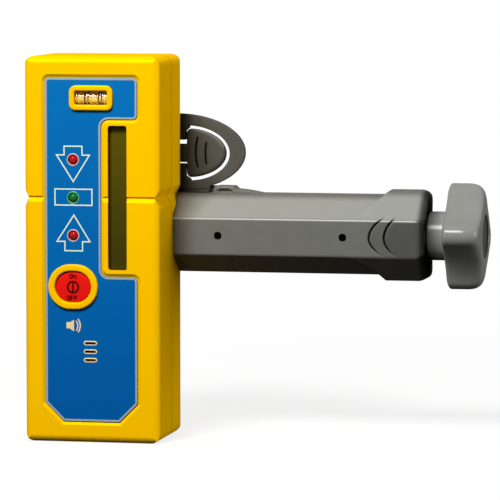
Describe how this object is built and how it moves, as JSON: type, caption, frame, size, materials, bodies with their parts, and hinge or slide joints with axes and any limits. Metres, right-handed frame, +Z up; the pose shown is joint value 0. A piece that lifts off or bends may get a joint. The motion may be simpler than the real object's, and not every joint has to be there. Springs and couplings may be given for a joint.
{
  "type": "laser receiver with rod clamp",
  "caption": "Yellow hand-held laser receiver with a blue front panel, on a grey clamp arm with a lobed knob and a release tab.",
  "frame": {"origin": "corner of the rod pocket, where the fixed pad's face, the arm's back and the reading edge on top of the arm meet; Z 0 is the on-grade plane", "axes": "+X along the arm to the knob, +Y from the receiver's front to the rod behind it, +Z up along the rod"},
  "size_m": [0.1754, 0.0855, 0.15],
  "materials": {
    "yellow_abs": "fine textured, satin",
    "blue_film": "printed film, satin",
    "red_button": "semi-gloss",
    "red_lens": "clear tinted",
    "green_lens": "clear tinted",
    "dark_filter": "polished filter",
    "vial_acrylic": "clear",
    "vial_liquid": "tinted liquid",
    "white_plastic": "satin",
    "grey_nylon": "fine textured",
    "dark_nylon": "satin",
    "black_plastic": "satin",
    "black_rubber": "matte",
    "circuit_board": "solder mask",
    "zinc_steel": "zinc plated",
    "brass": "machined",
    "battery_sleeve": "satin"
  },
  "bodies": {
    "receiver": {"front_shell": "yellow_abs", "rear_shell": "yellow_abs", "case_gasket": "black_rubber", "case_screws": "zinc_steel", "front_label": "blue_film", "window_seal": "black_rubber", "window_filter": "dark_filter", "photodiodes": "black_plastic", "sensor_board": "circuit_board", "sensor_headers": "black_plastic", "main_board": "circuit_board", "board_screws": "zinc_steel", "processor_chip": "black_plastic", "high_lamp": "red_lens", "on_grade_lamp": "green_lens", "low_lamp": "red_lens", "power_switch": "zinc_steel", "buzzer": "black_plastic", "buzzer_gasket": "black_rubber", "vial_cradle": "white_plastic", "vial_tube": "vial_acrylic", "vial_fluid": "vial_liquid", "vial_plugs": "vial_acrylic", "battery": "battery_sleeve", "battery_snap": "black_plastic", "battery_leads": "black_rubber", "door_hinge_pin": "zinc_steel", "clamp_arm": "grey_nylon", "arm_end_cap": "black_plastic", "fixed_jaw": "grey_nylon", "fixed_jaw_screws": "zinc_steel", "fixed_jaw_pad": "black_rubber", "clamp_nut": "brass", "latch_guard": "dark_nylon", "guard_screws": "zinc_steel", "latch_pin": "zinc_steel", "latch_spring": "zinc_steel"},
    "jaw": {"sliding_jaw": "grey_nylon", "sliding_jaw_pad": "black_rubber", "thrust_washer": "zinc_steel"},
    "knob": {"clamp_screw": "zinc_steel", "screw_clip": "zinc_steel", "clamp_knob": "grey_nylon", "knob_pin": "zinc_steel", "knob_cap": "dark_nylon"},
    "button": {"power_button": "red_button", "switch_plunger": "black_plastic"},
    "tab": {"release_tab": "dark_nylon"},
    "door": {"battery_door": "yellow_abs"}
  },
  "joints": [
    {"name": "jaw_slide", "type": "slide", "parent": "receiver", "child": "jaw", "axis": [1, 0, 0], "range_m": [0, 0.036]},
    {"name": "knob_turn", "type": "hinge", "parent": "jaw", "child": "knob", "pos_m": [0.1, -0.0119, -0.0154], "axis": [1, 0, 0], "range_deg": [0, 3240]},
    {"name": "button_press", "type": "slide", "parent": "receiver", "child": "button", "axis": [0, 1, 0], "range_m": [0, 0.0008], "stiffness_N_per_m": 2500},
    {"name": "tab_press", "type": "hinge", "parent": "receiver", "child": "tab", "pos_m": [-0.022, -0.0049, 0.0154], "axis": [0, 0, 1], "range_deg": [0, 6], "stiffness_Nm_per_rad": 0.5},
    {"name": "door_open", "type": "hinge", "parent": "receiver", "child": "door", "pos_m": [-0.0302, -0.0098, -0.0872], "axis": [-1, 0, 0], "range_deg": [0, 90]}
  ],
  "couplings": [
    {"joint": "knob_turn", "follows": "jaw_slide", "rad_per_m": 1570.8}
  ]
}
